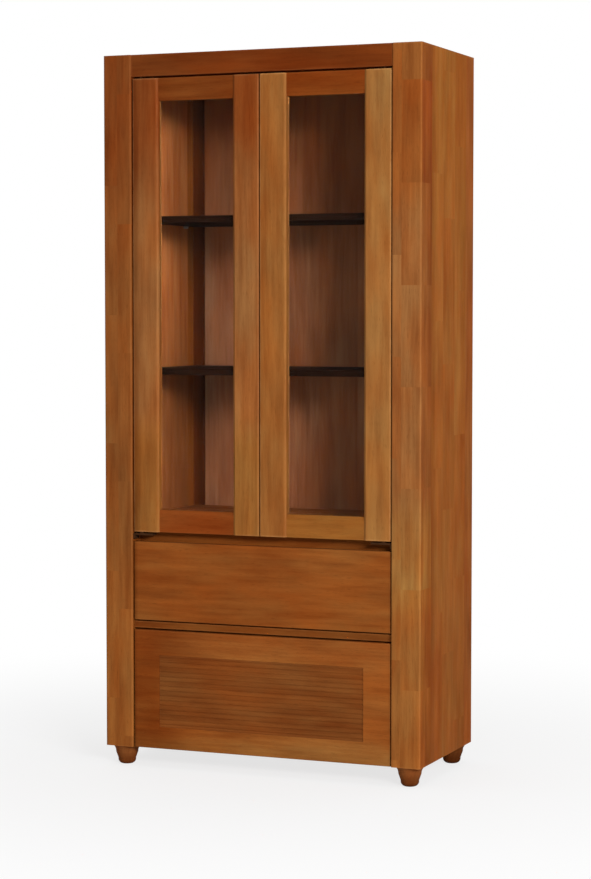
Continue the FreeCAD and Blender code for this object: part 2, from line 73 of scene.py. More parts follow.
# Noise in the wood, in waves per metre across, through and along a board
SWAY = (5.0, 5.0, 1.3)
WOBBLE = (55.0, 55.0, 3.5)
STREAKS = (64.0, 64.0, 4.2)
BROAD_STREAKS = (26.0, 26.0, 5.2)
CLOUDS = (9.0, 9.0, 3.6)
WARM_PATCHES = (15.0, 15.0, 4.6)
FIBRES = (820.0, 820.0, 16.0)
PORES = (1500.0, 1500.0, 55.0)
# Noise on other surfaces, in waves per metre along X, Y and Z
RUB_AND_HIGHLIGHT_PATCHES = (38.0, 38.0, 38.0)
SCRATCHES = (900.0, 24.0, 900.0)
DULL_PATCHES = (60.0, 60.0, 60.0)
COAT_PEEL = (2200.0, 2200.0, 2200.0)
WIPE_MARKS = (9.0, 9.0, 3.0)
FLOOR_SPECKLE = (6.0, 6.0, 6.0)

# Steps that keep the chance numbers of neighbouring planks, blocks and boards apart
PLANK_STEP = 0.37
BLOCK_STEP = 37.0
SEED_STEP = 7.31
# How far seeds and blocks move a board's place in the noise, in metres
SEED_ACROSS = 0.73
SEED_ALONG = 2.13
BLOCK_THROUGH = 3.0
# Share of a block on each side of the board's middle that has no joint
CLEAR_MIDDLE = 0.1

# The trunk, in metres: how far its heart lies aside, its least depth below the face and the spread of that
HEART_ASIDE = 0.035
HEART_DEPTH = 0.035
HEART_SPREAD = 0.09
# How far slow and quick noise bend the growth rings, in metres, and how much the trunk tapers per metre
RING_SWAY = 0.055
RING_WOBBLE = 0.0045
TRUNK_TAPER = 0.015
# Where in a ring its wood starts to darken, and where it is darkest
LATE_START = 0.15
LATE_PEAK = 0.90

# Factors on the red, green and blue of a stain: pale and dark grain, and wood rubbed bare, also the painted
# edge highlight
PALE_GRAIN = (1.27, 1.34, 1.32)
DARK_GRAIN = (0.73, 0.62, 0.56)
BARE_AND_HIGHLIT = (1.75, 2.15, 3.00)
# Tints of cooler and warmer patches, and the dark of an open pore
COOLER = (0.97, 1.10, 1.22, 1.0)
WARMER = (1.03, 0.91, 0.80, 1.0)
OPEN_PORE = (0.02, 0.006, 0.002, 1.0)
# How strongly fibres and pores show in the stain
FIBRE_TONE = 0.30
PORE_TONE = 0.35
# Roughness of the lacquer where nothing adds to it
LACQUER_ROUGHNESS = 0.34
# Most roughness that a wipe mark gives the glass
WIPED_ROUGHNESS = 0.020
# Roughness that scratches and dulled patches add to metal
SCRATCH_ROUGHNESS = 0.16
DULL_ROUGHNESS = 0.20
# How close to an edge the rubbing and its painted highlight are at their full, in metres
SHARP_EDGE = 0.0005

# A pin head in shares of its radius: how far out and how far up, from below the surface to the crown
PIN_OUTLINE = ((0.0, -0.30), (0.85, -0.30), (1.0, 0.05), (0.72, 0.26), (0.36, 0.35), (0.0, 0.38))

# The stage, in metres: each light's width and height, where it hangs and what it faces
KEY_SIZE = (2.6, 0.9)
KEY_PLACE = (4.39, -4.42, 2.42)
KEY_AIM = (0.0, -0.1, 0.85)
TOP_SIZE = (4.5, 4.5)
TOP_PLACE = (0.0, 0.3, 4.6)
TOP_AIM = (0.0, 0.0, 0.0)
# Half the width of the floor, and where its fading into the background starts and ends
FLOOR_REACH = 30.0
FADE_START = 0.3
FADE_END = 2.2
# Share of the white background in the floor next to the bookcase
NEAR_WHITE = 0.75
# The camera's place in metres, and in degrees how far it looks down and to the left
CAMERA_PLACE = (2.281, -5.4876, 1.1592)
CAMERA_DOWN = 3.156
CAMERA_TURN = 22.424
# In millimetres
SENSOR_WIDTH = 36.0


# Properties

def stain(name, description, default):
    """A colour property in scene linear values."""
    return FloatVectorProperty(name=name, description=description, default=default,
                               subtype="COLOR", size=3, min=0.0, max=1.0)


def metres(name, description, default):
    """A length property."""
    return FloatProperty(name=name, description=description, default=default,
                         min=0.0, subtype="DISTANCE", unit="LENGTH", precision=4)


def share(name, description, default, highest=1.0):
    """A plain factor."""
    return FloatProperty(name=name, description=description, default=default,
                         min=0.0, max=highest, subtype="FACTOR")


def watts(name, description, default):
    """The power of a light."""
    return FloatProperty(name=name, description=description, default=default,
                         min=0.0, subtype="POWER", unit="POWER")


class BookcaseStains(PropertyGroup):
    """Colours of the wood, one for each kind of board"""

    post: stain("Posts", "Stain of the four posts", (0.265, 0.086, 0.0205))
    side: stain("Sides", "Stain of the outer side boards", (0.276, 0.0865, 0.0150))
    rail: stain("Rails", "Stain of the top rail and the top panel", (0.152, 0.0318, 0.0059))
    door: stain("Door stiles", "Stain of the upright door pieces and the beads", (0.290, 0.104, 0.0280))
    door_rail: stain("Door rails", "Stain of the level door pieces", (0.225, 0.052, 0.0090))
    drawer: stain("Drawer fronts", "Stain of the drawer fronts and cross rails", (0.246, 0.069, 0.0130))
    reed: stain("Reeds", "Stain of the reeded panel", (0.203, 0.060, 0.0135))
    inner: stain("Inside", "Stain of the inner sides, the ceiling and the floors", (0.350, 0.112, 0.0290))
    back: stain("Back", "Stain of the back panel", (0.318, 0.115, 0.0472))
    # The battens' dark stain partly stands for painted shade in the rear corners
    batten: stain("Back battens", "Stain of the battens in the rear corners", (0.1235, 0.0288, 0.0065))
    shelf: stain("Shelves", "Stain of the shelves", (0.0095, 0.0030, 0.0013))
    foot: stain("Feet", "Stain of the turned feet", (0.205, 0.063, 0.0165))
    box: stain("Drawer boxes", "Pale wood of the drawer boxes", (0.600, 0.420, 0.2300))
    core: stain("Core", "Bare wood inside the side boards", (0.560, 0.400, 0.2200))


class BookcaseFinish(PropertyGroup):
    """Lacquer, glass and metal"""

    ring_width: metres("Ring width", "Space between two growth rings", 0.0085)
    # Edge wear and its reach also set the painted highlight on rounded edges, which takes the rubbed-bare
    # colour
    edge_wear: share("Edge wear", "How far the stain is rubbed through at the edges", 0.45)
    wear_reach: metres("Wear reach", "How far from an edge the stain is rubbed", 0.0050)
    wood_shine: share("Wood shine", "Mirror share of the satin lacquer", 0.005)
    glass_bend: FloatProperty(name="Glass bend", description="Refraction of the thin, clear panes",
                              default=1.09, min=1.0, max=2.0)
    glass_tint: stain("Glass tint", "Colour of the glass", (0.965, 0.985, 0.975))
    steel: stain("Steel", "Zinc plated steel", (0.560, 0.560, 0.545))
    brass: stain("Brass", "Pivot sockets and bead pins", (0.640, 0.440, 0.1700))
    black: stain("Dark coat", "Dark bronze coat of the pivots", (0.040, 0.0160, 0.0065))
    catch: stain("Catches", "Moulded plastic of the door catches", (0.060, 0.036, 0.0220))


class BookcaseFittings(PropertyGroup):
    """Small fittings that are added to the solids"""

    pin_head: metres("Back pin head", "Radius of the pins that hold the back panel", 0.0030)
    pin_gap: metres("Back pin spacing", "Largest space between two back pins", 0.1500)
    pin_inset: metres("Back pin inset", "From the edge of the back battens to the pins", 0.0100)
    bead_pin_head: metres("Bead pin head", "Radius of the pins in the glazing beads", 0.0011)
    bead_pin_gap: metres("Bead pin spacing", "Largest space between two bead pins", 0.1700)
    bead_pin_inset: metres("Bead pin inset", "From the outer edge of a bead to its pins", 0.0040)
    turns: IntProperty(name="Turned steps", description="Steps round a small turned head",
                       default=12, min=6)


class BookcaseStage(PropertyGroup):
    """Floor, light and camera"""

    floor: stain("Floor", "Colour of the floor", (0.90, 0.90, 0.90))
    key: watts("Key light", "Power of the soft light at the front right", 314.0)
    top: watts("Top light", "Power of the soft light overhead", 45.0)
    fill: share("Fill", "Even light from all round", 0.34, 2.0)
    lens: FloatProperty(name="Lens", description="Focal length of the camera", default=95.55,
                        min=1.0, subtype="DISTANCE_CAMERA", unit="CAMERA")


# Node helpers

def feed(tree, socket, value):
    """Link an output to an input, or set the input's value."""
    if isinstance(value, bpy.types.NodeSocket):
        tree.links.new(value, socket)
    else:
        socket.default_value = value


def calc(tree, operation, *values, clamp=False):
    """One Math node, its operands linked or set."""
    node = tree.nodes.new("ShaderNodeMath")
    node.operation = operation
    node.use_clamp = clamp
    for socket, value in zip(node.inputs, values):
        feed(tree, socket, value)
    return node.outputs[0]


def add_up(tree, total, *shares):
    """Add values to a total, each times its weight."""
    for value, weight in shares:
        total = calc(tree, "MULTIPLY_ADD", value, weight, total)
    return total


def vector_calc(tree, operation, *values):
    """One Vector Math node, its operands linked or set."""
    node = tree.nodes.new("ShaderNodeVectorMath")
    node.operation = operation
    for socket, value in zip(node.inputs, values):
        feed(tree, socket, value)
    return node.outputs["Value" if operation == "LENGTH" else "Vector"]


def split(tree, vector):
    """The three parts of a vector."""
    node = tree.nodes.new("ShaderNodeSeparateXYZ")
    feed(tree, node.inputs[0], vector)
    return node.outputs["X"], node.outputs["Y"], node.outputs["Z"]


def unite(tree, x, y, z):
    """A vector from three parts."""
    node = tree.nodes.new("ShaderNodeCombineXYZ")
    for socket, value in zip(node.inputs, (x, y, z)):
        feed(tree, socket, value)
    return node.outputs[0]


def noise(tree, point, stretch, detail, roughness):
    """Noise over a point that is stretched first; its value output."""
    node = tree.nodes.new("ShaderNodeTexNoise")
    feed(tree, node.inputs["Vector"], vector_calc(tree, "MULTIPLY", point, stretch))
    node.inputs["Scale"].default_value = 1.0
    node.inputs["Detail"].default_value = detail
    node.inputs["Roughness"].default_value = roughness
    return node.outputs[0]


def spread(tree, value, low, high, to_low=0.0, to_high=1.0, kind="LINEAR"):
    """Map a value from one range to another, clamped."""
    node = tree.nodes.new("ShaderNodeMapRange")
    node.interpolation_type = kind
    for socket, part in zip(node.inputs, (value, low, high, to_low, to_high)):
        feed(tree, socket, part)
    return node.outputs[0]


def blend_colours(tree, factor, first, second, kind="MIX"):
    """Mix two colours."""
    node = tree.nodes.new("ShaderNodeMix")
    node.data_type = "RGBA"
    node.blend_type = kind
    feed(tree, node.inputs["Factor"], factor)
    sockets = [socket for socket in node.inputs if socket.type == "RGBA"]
    feed(tree, sockets[0], first)
    feed(tree, sockets[1], second)
    return next(socket for socket in node.outputs if socket.type == "RGBA")


def mix_shaders(tree, factor, first, second):
    """One Mix Shader node over two shaders."""
    node = tree.nodes.new("ShaderNodeMixShader")
    for socket, value in zip(node.inputs, (factor, first, second)):
        feed(tree, socket, value)
    return node.outputs[0]


def seen_directly(tree):
    """1 where the camera looks at a surface, straight or by way of metal or glass, and 0 elsewhere."""
    path = tree.nodes.new("ShaderNodeLightPath").outputs
    by_way = calc(tree, "MAXIMUM", path["Is Glossy Ray"], path["Is Transmission Ray"])
    return calc(tree, "MAXIMUM", path["Is Camera Ray"], by_way)


def new_group(name, inputs, outputs):
    """An empty shader node group with named sockets, and its two end nodes."""
    tree = bpy.data.node_groups.new(name, "ShaderNodeTree")
    kinds = {"value": "NodeSocketFloat", "colour": "NodeSocketColor", "vector": "NodeSocketVector"}
    for in_out, sockets in (("INPUT", inputs), ("OUTPUT", outputs)):
        for label, kind in sockets:
            tree.interface.new_socket(name=label, in_out=in_out, socket_type=kinds[kind])
    return tree, tree.nodes.new("NodeGroupInput").outputs, tree.nodes.new("NodeGroupOutput").inputs


def place_group(tree, group, **values):
    """Put a group into a material; underscores stand for spaces in its socket names."""
    node = tree.nodes.new("ShaderNodeGroup")
    node.node_tree = group
    for label, value in values.items():
        socket = node.inputs[label.replace("_", " ")]
        if socket.type == "RGBA" and not isinstance(value, bpy.types.NodeSocket):
            value = (*value[:3], 1.0)
        feed(tree, socket, value)
    return node.outputs


def built_once(build):
    """Build a group, named as its function is, at its first use, and give the same one after that."""
    def group():
        return bpy.data.node_groups.get(build.__name__) or build()
    return group


# Shared effects

def own_numbers(tree, given, board):
    """The plank that a point lies in, and three chance numbers of its block of that plank."""
    across, _, along = board
    plank = calc(tree, "ADD", calc(tree, "DIVIDE", across, given["Plank Width"]), 0.5)
    plank = calc(tree, "FLOOR", plank)
    start = calc(tree, "FRACT", calc(tree, "MULTIPLY_ADD", plank, PLANK_STEP, given["Seed"]))
    start = calc(tree, "MULTIPLY_ADD", start, 1.0 - 2.0 * CLEAR_MIDDLE, CLEAR_MIDDLE)
    block = calc(tree, "ADD", calc(tree, "DIVIDE", along, given["Block Length"]), start)
    block = calc(tree, "FLOOR", block)
    number = calc(tree, "ADD", calc(tree, "MULTIPLY", block, BLOCK_STEP), plank)
    number = calc(tree, "ADD", calc(tree, "MULTIPLY", given["Seed"], SEED_STEP), number)
    chance = tree.nodes.new("ShaderNodeTexWhiteNoise")
    chance.noise_dimensions = "1D"
    feed(tree, chance.inputs["W"], number)
    return plank, split(tree, chance.outputs["Color"])


def late_wood(tree, given, board, plank, chances, moved):
    """How far a point lies in the dark part of its growth ring. The rings are slightly tapered cones round
    the heart of the trunk, bent by noise."""
    across, through, along = board
    first, second, third = chances
    sway = noise(tree, moved, SWAY, detail=3.0, roughness=0.55)
    wobble = noise(tree, moved, WOBBLE, detail=2.0, roughness=0.5)
    inside = calc(tree, "SUBTRACT", across, calc(tree, "MULTIPLY", plank, given["Plank Width"]))
    heart = calc(tree, "MULTIPLY_ADD", second, 2.0 * HEART_ASIDE, -HEART_ASIDE)
    aside = calc(tree, "ADD", inside, heart)
    depth = calc(tree, "ADD", through, calc(tree, "MULTIPLY_ADD", third, HEART_SPREAD, HEART_DEPTH))
    reach = calc(tree, "SQRT", calc(tree, "ADD", calc(tree, "MULTIPLY", aside, aside),
                                    calc(tree, "MULTIPLY", depth, depth)))
    taper = calc(tree, "MULTIPLY_ADD", first, 2.0 * TRUNK_TAPER, -TRUNK_TAPER)
    reach = calc(tree, "ADD", reach, calc(tree, "MULTIPLY", along, taper))
    reach = add_up(tree, reach, (sway, RING_SWAY), (wobble, RING_WOBBLE))
    turn = calc(tree, "FRACT", calc(tree, "DIVIDE", reach, given["Ring Width"]))
    darkening = spread(tree, turn, LATE_START, LATE_PEAK, kind="SMOOTHSTEP")
    ending = spread(tree, turn, LATE_PEAK, 1.0, 1.0, 0.0, kind="SMOOTHSTEP")
    return calc(tree, "MULTIPLY", darkening, ending)


@built_once
def stained_grain():
    """Stained board: growth rings, streaks, clouded stain, fibres and pores, in board coordinates. Each
    block of a glued plank has its own heart, tone and place in the noise."""
    tree, given, put = new_group(
        "stained_grain",
        [("Board Point", "vector"), ("Light Stain", "colour"), ("Dark Stain", "colour"), ("Seed", "value"),
         ("Plank Width", "value"), ("Block Length", "value"), ("Ring Width", "value"),
         ("Ring Strength", "value"), ("Streak Strength", "value"), ("Cloud Strength", "value"),
         ("Plank Strength", "value"), ("Block Strength", "value")],
        [("Colour", "colour"), ("Roughness", "value"), ("Height", "value")])
    board = split(tree, given["Board Point"])
    plank, chances = own_numbers(tree, given, board)
    first, second, third = chances
    move = unite(tree, calc(tree, "MULTIPLY", given["Seed"], SEED_ACROSS),
                 calc(tree, "MULTIPLY", first, BLOCK_THROUGH),
                 calc(tree, "MULTIPLY_ADD", given["Seed"], SEED_ALONG, second))
    moved = vector_calc(tree, "ADD", given["Board Point"], move)

    late = late_wood(tree, given, board, plank, chances, moved)
    streak = spread(tree, noise(tree, moved, STREAKS, detail=4.0, roughness=0.6), 0.36, 0.64)
    broad = spread(tree, noise(tree, moved, BROAD_STREAKS, detail=2.0, roughness=0.5), 0.36, 0.64)
    cloud = spread(tree, noise(tree, moved, CLOUDS, detail=3.0, roughness=0.55), 0.34, 0.66)
    warmth = spread(tree, noise(tree, moved, WARM_PATCHES, detail=3.0, roughness=0.55), 0.34, 0.66)
    fibre = noise(tree, moved, FIBRES, detail=2.0, roughness=0.5)
    pore = spread(tree, noise(tree, moved, PORES, detail=1.0, roughness=0.5), 0.62, 0.74)

    tone = calc(tree, "MULTIPLY", late, given["Ring Strength"])
    tone = add_up(tree, tone, (streak, given["Streak Strength"]), (broad, given["Streak Strength"]),
                  (cloud, given["Cloud Strength"]), (third, given["Plank Strength"]))
    fibre_tone = calc(tree, "SUBTRACT", fibre, 0.5)
    tone = calc(tree, "MULTIPLY_ADD", fibre_tone, FIBRE_TONE, tone, clamp=True)
    colour = blend_colours(tree, tone, given["Light Stain"], given["Dark Stain"])
    block_tone = calc(tree, "SUBTRACT", third, 0.5)
    warmth = calc(tree, "MULTIPLY_ADD", block_tone, given["Block Strength"], warmth, clamp=True)
    tint = blend_colours(tree, warmth, COOLER, WARMER)
    colour = blend_colours(tree, 1.0, colour, tint, "MULTIPLY")
    colour = blend_colours(tree, calc(tree, "MULTIPLY", pore, PORE_TONE), colour, OPEN_PORE)
    feed(tree, put["Colour"], colour)

    rough = add_up(tree, LACQUER_ROUGHNESS, (streak, 0.07), (cloud, 0.06), (fibre, 0.10), (pore, 0.15))
    feed(tree, put["Roughness"], rough)
    height = add_up(tree, calc(tree, "MULTIPLY", fibre, 0.45), (late, -0.25), (pore, -0.60))
    feed(tree, put["Height"], height)
    return tree


@built_once
def stain_and_shade_drift():
    """A colour that changes by a tint from one place to another, for stain and for painted light and shade.
    """
    tree, given, put = new_group(
        "stain_and_shade_drift",
        [("Colour", "colour"), ("Place", "value"), ("Start", "value"), ("End", "value"),
         ("Tint", "colour")],
        [("Colour", "colour")])
    taken = spread(tree, given["Place"], given["Start"], given["End"], kind="SMOOTHSTEP")
    tinted = blend_colours(tree, taken, given["Colour"], given["Tint"], "MULTIPLY")
    feed(tree, put["Colour"], tinted)
    return tree


@built_once
def rubbed_and_highlit_edges():
    """Mask of the edges that hands and cloths have rubbed, and of the painted highlight where rounded edges
    catch the light, for a board between two corners.
    """
    tree, given, put = new_group(
        "rubbed_and_highlit_edges",
        [("Point", "vector"), ("Low Corner", "vector"), ("High Corner", "vector"), ("Reach", "value"),
         ("Amount", "value")],
        [("Mask", "value")])
    from_low = vector_calc(tree, "SUBTRACT", given["Point"], given["Low Corner"])
    from_high = vector_calc(tree, "SUBTRACT", given["High Corner"], given["Point"])
    first, second, third = split(tree, vector_calc(tree, "MINIMUM", from_low, from_high))
    # The middle one of the three distances says how far the nearest edge is
    near = calc(tree, "MINIMUM", first, second)
    far = calc(tree, "MAXIMUM", first, second)
    from_edge = calc(tree, "MAXIMUM", near, calc(tree, "MINIMUM", far, third))
    edge = spread(tree, from_edge, given["Reach"], SHARP_EDGE, kind="SMOOTHSTEP")
    patches = noise(tree, given["Point"], RUB_AND_HIGHLIGHT_PATCHES, detail=4.0, roughness=0.65)
    patchy = spread(tree, patches, 0.30, 0.62, 0.25, 1.0)
    mask = calc(tree, "MULTIPLY", calc(tree, "MULTIPLY", edge, patchy), given["Amount"])
    feed(tree, put["Mask"], mask)
    return tree


@built_once
def handled_metal():
    """Plated or coated metal: fine scratches along one axis, dulled patches and a soft grain."""
    tree, given, put = new_group(
        "handled_metal",
        [("Point", "vector"), ("Clean", "colour"), ("Dulled", "colour"), ("Smoothness", "value"),
         ("Patches", "value")],
        [("Colour", "colour"), ("Roughness", "value"), ("Height", "value")])
    scratch = noise(tree, given["Point"], SCRATCHES, detail=3.0, roughness=0.6)
    patch = spread(tree, noise(tree, given["Point"], DULL_PATCHES, detail=4.0, roughness=0.6), 0.40, 0.68)
    peel = noise(tree, given["Point"], COAT_PEEL, detail=1.0, roughness=0.5)
    dulled = calc(tree, "MULTIPLY", patch, given["Patches"])
    feed(tree, put["Colour"], blend_colours(tree, dulled, given["Clean"], given["Dulled"]))
    rough = calc(tree, "SUBTRACT", 1.0, given["Smoothness"])
    rough = calc(tree, "MULTIPLY_ADD", scratch, SCRATCH_ROUGHNESS, rough)
    rough = calc(tree, "MULTIPLY_ADD", dulled, DULL_ROUGHNESS, rough, clamp=True)
    feed(tree, put["Roughness"], rough)
    feed(tree, put["Height"], add_up(tree, calc(tree, "MULTIPLY", peel, 0.4), (scratch, 0.6)))
    return tree


# Materials

class Drift(NamedTuple):
    """A gradual change of colour, for stain and for painted light and shade: the axis it follows, where it
    starts and ends on it, counted from the board's middle in metres, and the tint at its end"""

    axis: str
    start: float
    end: float
    tint: tuple


def new_material(name):
    """An empty node material with its Principled shader, and the object's own coordinates."""
    material = bpy.data.materials.new(name)
    material.use_nodes = True
    tree = material.node_tree
    shader = tree.nodes["Principled BSDF"]
    point = tree.nodes.new("ShaderNodeTexCoord").outputs["Object"]
    return material, tree, shader, point


def cover(tree, surface):
    """Make a shader the material's surface."""
    feed(tree, tree.nodes["Material Output"].inputs["Surface"], surface)


def add_bump(tree, shader, height, strength, distance):
    """Raise the surface by a height."""
    bump = tree.nodes.new("ShaderNodeBump")
    bump.inputs["Strength"].default_value = strength
    bump.inputs["Distance"].default_value = distance
    feed(tree, bump.inputs["Height"], height)
    feed(tree, shader.inputs["Normal"], bump.outputs[0])


def shade(colour, red, green, blue):
    """A colour with each part scaled and kept within range."""
    return tuple(min(part * by, 1.0) for part, by in zip(colour, (red, green, blue)))


def wood(node, colour, lay, seed, planks=UNDIVIDED, aside=0.0, blocks=UNDIVIDED, rings=0.11, streaks=0.33,
         clouds=0.34, plank_tone=0.0, block_tone=0.0, tone=1.0, shine=None, drifts=(), wear=1.0, joined=()):
    """Lacquered wood for one board: its grain follows its lay, its colour drifts, for stain and for painted
    light and shade, and its edges are rubbed and carry a painted highlight, apart from those of the faces
    that are joined to a neighbour. It is glued from planks, moved aside from its middle, and these from
    blocks end to end."""
    finish = bpy.context.scene.bookcase_finish
    low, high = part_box(node)
    centre = (low + high) / 2
    material, tree, shader, point = new_material(node)
    local = tree.nodes.new("ShaderNodeMapping")
    local.inputs["Location"].default_value = -centre
    feed(tree, local.inputs["Vector"], point)
    parts = dict(zip("XYZ", split(tree, local.outputs[0])))
    board = unite(tree, *[parts[axis] for axis in lay])
    board = vector_calc(tree, "ADD", board, (aside, 0.0, 0.0))
    colour = shade(colour, tone, tone, tone)
    grain = place_group(tree, stained_grain(), Board_Point=board, Seed=float(seed),
                        Light_Stain=shade(colour, *PALE_GRAIN), Dark_Stain=shade(colour, *DARK_GRAIN),
                        Plank_Width=planks, Block_Length=blocks, Ring_Width=finish.ring_width,
                        Ring_Strength=rings, Streak_Strength=streaks, Cloud_Strength=clouds,
                        Plank_Strength=plank_tone, Block_Strength=block_tone)
    stained = grain["Colour"]
    for drift in drifts:
        drifted = place_group(tree, stain_and_shade_drift(), Colour=stained, Place=parts[drift.axis],
                              Start=drift.start, End=drift.end, Tint=drift.tint)
        stained = drifted["Colour"]
    for side, axis in joined:
        corner = high if side == "+" else low
        corner["XYZ".index(axis)] += FAR_AWAY if side == "+" else -FAR_AWAY
    worn_and_highlit = place_group(tree, rubbed_and_highlit_edges(), Point=point, Low_Corner=low, High_Corner=high,
                       Reach=finish.wear_reach, Amount=min(finish.edge_wear * wear, 1.0))
    # The rubbed-bare colour is also the painted highlight on the edges
    bare = (*shade(colour, *BARE_AND_HIGHLIT), 1.0)
    feed(tree, shader.inputs["Base Color"], blend_colours(tree, worn_and_highlit["Mask"], stained, bare))
    feed(tree, shader.inputs["Roughness"], grain["Roughness"])
    shader.inputs["Specular IOR Level"].default_value = finish.wood_shine if shine is None else shine
    add_bump(tree, shader, grain["Height"], strength=0.35, distance=0.0003)
    return material


def metal(name, colour, dulled, smoothness, patches, metallic=1.0, shine=0.5):
    """Plated, coated or moulded fitting."""
    material, tree, shader, point = new_material(name)
    look = place_group(tree, handled_metal(), Point=point, Clean=colour, Dulled=dulled,
                       Smoothness=smoothness, Patches=patches)
    feed(tree, shader.inputs["Base Color"], look["Colour"])
    feed(tree, shader.inputs["Roughness"], look["Roughness"])
    shader.inputs["Metallic"].default_value = metallic
    shader.inputs["Specular IOR Level"].default_value = shine
    add_bump(tree, shader, look["Height"], strength=0.20, distance=0.00015)
    return material


def clear_glass(name):
    """Clear pane that lets the lamps through, with faint wipe marks."""
    finish = bpy.context.scene.bookcase_finish
    material, tree, shader, point = new_material(name)
    shader.inputs["Base Color"].default_value = (*finish.glass_tint, 1.0)
    shader.inputs["Transmission Weight"].default_value = 1.0
    shader.inputs["IOR"].default_value = finish.glass_bend
    marks = noise(tree, point, WIPE_MARKS, detail=4.0, roughness=0.6)
    feed(tree, shader.inputs["Roughness"], spread(tree, marks, 0.45, 0.80, 0.0, WIPED_ROUGHNESS))
    path = tree.nodes.new("ShaderNodeLightPath")
    open_air = tree.nodes.new("ShaderNodeBsdfTransparent")
    cover(tree, mix_shaders(tree, path.outputs["Is Shadow Ray"], shader.outputs[0], open_air.outputs[0]))
    return material


def dress(node, material):
    """Give a CAD node its material."""
    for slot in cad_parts[node].material_slots:
        slot.material = material


def dress_board(node, colour, lay, seed, **looks):
    """Give one board its own wood, centred on it."""
    dress(node, wood(node, colour, lay, seed, **looks))


def dress_boards(nodes, colour, lay, seed, **looks):
    """Give like boards their wood, each from another place in the grain."""
    for number, node in enumerate(nodes):
        dress_board(node, colour, lay, seed + NEXT_BOARD * number, **looks)


# Small turned pieces

def corners(geometry):
    """The vertices among some bmesh geometry."""
    return [part for part in geometry if isinstance(part, bmesh.types.BMVert)]


def repeated_head(outline, turns, places):
    """One turned head, spun from an outline of (radius, height) points on its axis, set at each place."""
    bm = bmesh.new()
    points = [bm.verts.new((radius, 0.0, height)) for radius, height in outline]
    edges = [bm.edges.new(pair) for pair in zip(points, points[1:])]
    bmesh.ops.spin(bm, geom=points + edges, cent=(0.0, 0.0, 0.0), axis=(0.0, 0.0, 1.0), angle=math.tau,
                   steps=turns, use_merge=True)
    bmesh.ops.remove_doubles(bm, verts=bm.verts, dist=ROUNDING)
    head = [*bm.verts, *bm.edges, *bm.faces]
    for place in places[1:]:
        copied = bmesh.ops.duplicate(bm, geom=head)["geom"]
        bmesh.ops.transform(bm, matrix=place, verts=corners(copied))
    bmesh.ops.transform(bm, matrix=places[0], verts=corners(head))
    return bm


def facing_back(x, y, z):
    """Turns a head from +Z to the back of the case and moves it to a place."""
    return Matrix.Translation((x, y, z)) @ Matrix.Rotation(math.radians(-90.0), 4, "X")


def finish_piece(bm, name, material, body):
    """Make an object of a bmesh, with its normals outward, on its body and slot."""
    bmesh.ops.recalc_face_normals(bm, faces=bm.faces)
    mesh = bpy.data.meshes.new(name)
    bm.to_mesh(mesh)
    bm.free()
    for polygon in mesh.polygons:
        polygon.use_smooth = True
    mesh.materials.append(material)
    piece = bpy.data.objects.new(name, mesh)
    bpy.context.scene.collection.objects.link(piece)
    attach(piece, body)


def evenly(low, high, gap):
    """Places from low to high, spaced by at most the gap."""
    count = max(1, math.ceil((high - low) / gap - ROUNDING))
    return [low + (high - low) * step / count for step in range(count + 1)]


def middle_height(node):
    """The height of a CAD node's centre at rest."""
    low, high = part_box(node)
    return (low.z + high.z) / 2


# Stage

def lay_floor(stage):
    """A wide floor that takes the shadow near the bookcase and fades to the white background far off."""
    bm = bmesh.new()
    bmesh.ops.create_grid(bm, x_segments=1, y_segments=1, size=FLOOR_REACH)
    mesh = bpy.data.meshes.new("floor")
    bm.to_mesh(mesh)
    bm.free()
    material, tree, shader, point = new_material("floor_paint")
    speckle = noise(tree, point, FLOOR_SPECKLE, detail=4.0, roughness=0.6)
    darker = (*shade(stage.floor, 0.97, 0.97, 0.97), 1.0)
    feed(tree, shader.inputs["Base Color"], blend_colours(tree, speckle, (*stage.floor, 1.0), darker))
    shader.inputs["Roughness"].default_value = 0.9
    shader.inputs["Specular IOR Level"].default_value = 0.1
    away = vector_calc(tree, "LENGTH", point)
    far = spread(tree, away, FADE_START, FADE_END, NEAR_WHITE, 1.0, kind="SMOOTHSTEP")
    white = tree.nodes.new("ShaderNodeEmission")
    white.inputs["Strength"].default_value = 1.0
    fade = calc(tree, "MULTIPLY", far, seen_directly(tree))
    cover(tree, mix_shaders(tree, fade, shader.outputs[0], white.outputs[0]))
    mesh.materials.append(material)
    floor = bpy.data.objects.new("floor", mesh)
    bpy.context.scene.collection.objects.link(floor)


def light_world(scene, stage):
    """Even fill light; white where the camera, metal or glass looks past the floor."""
    world = bpy.data.worlds.new("studio")
    scene.world = world
    world.use_nodes = True
    tree = world.node_tree
    tree.nodes.clear()
    backgrounds = []
    for strength in (stage.fill, 1.0):
        background = tree.nodes.new("ShaderNodeBackground")
        background.inputs["Color"].default_value = (1.0, 1.0, 1.0, 1.0)
        background.inputs["Strength"].default_value = strength
        backgrounds.append(background.outputs[0])
    out = tree.nodes.new("ShaderNodeOutputWorld")
    feed(tree, out.inputs["Surface"], mix_shaders(tree, seen_directly(tree), *backgrounds))


def soft_light(name, power, size, place, aim):
    """A rectangular soft light that faces its aim."""
    light = bpy.data.lights.new(name, "AREA")
    light.shape = "RECTANGLE"
    light.size, light.size_y = size
    light.energy = power
    lamp = bpy.data.objects.new(name, light)
    lamp.location = place
    lamp.rotation_euler = (Vector(aim) - Vector(place)).to_track_quat("-Z", "Y").to_euler()
    bpy.context.scene.collection.objects.link(lamp)


def stand_camera(scene, stage):
    """The camera at the front right, a little above half the height, looking slightly down."""
    camera = bpy.data.cameras.new("camera")
    camera.lens = stage.lens
    camera.sensor_width = SENSOR_WIDTH
    camera.sensor_fit = "AUTO"
    stand = bpy.data.objects.new("camera", camera)
    stand.location = CAMERA_PLACE
    stand.rotation_euler = (math.radians(90.0 - CAMERA_DOWN), 0.0, math.radians(CAMERA_TURN))
    scene.collection.objects.link(stand)
    scene.camera = stand


# Operators, in building order

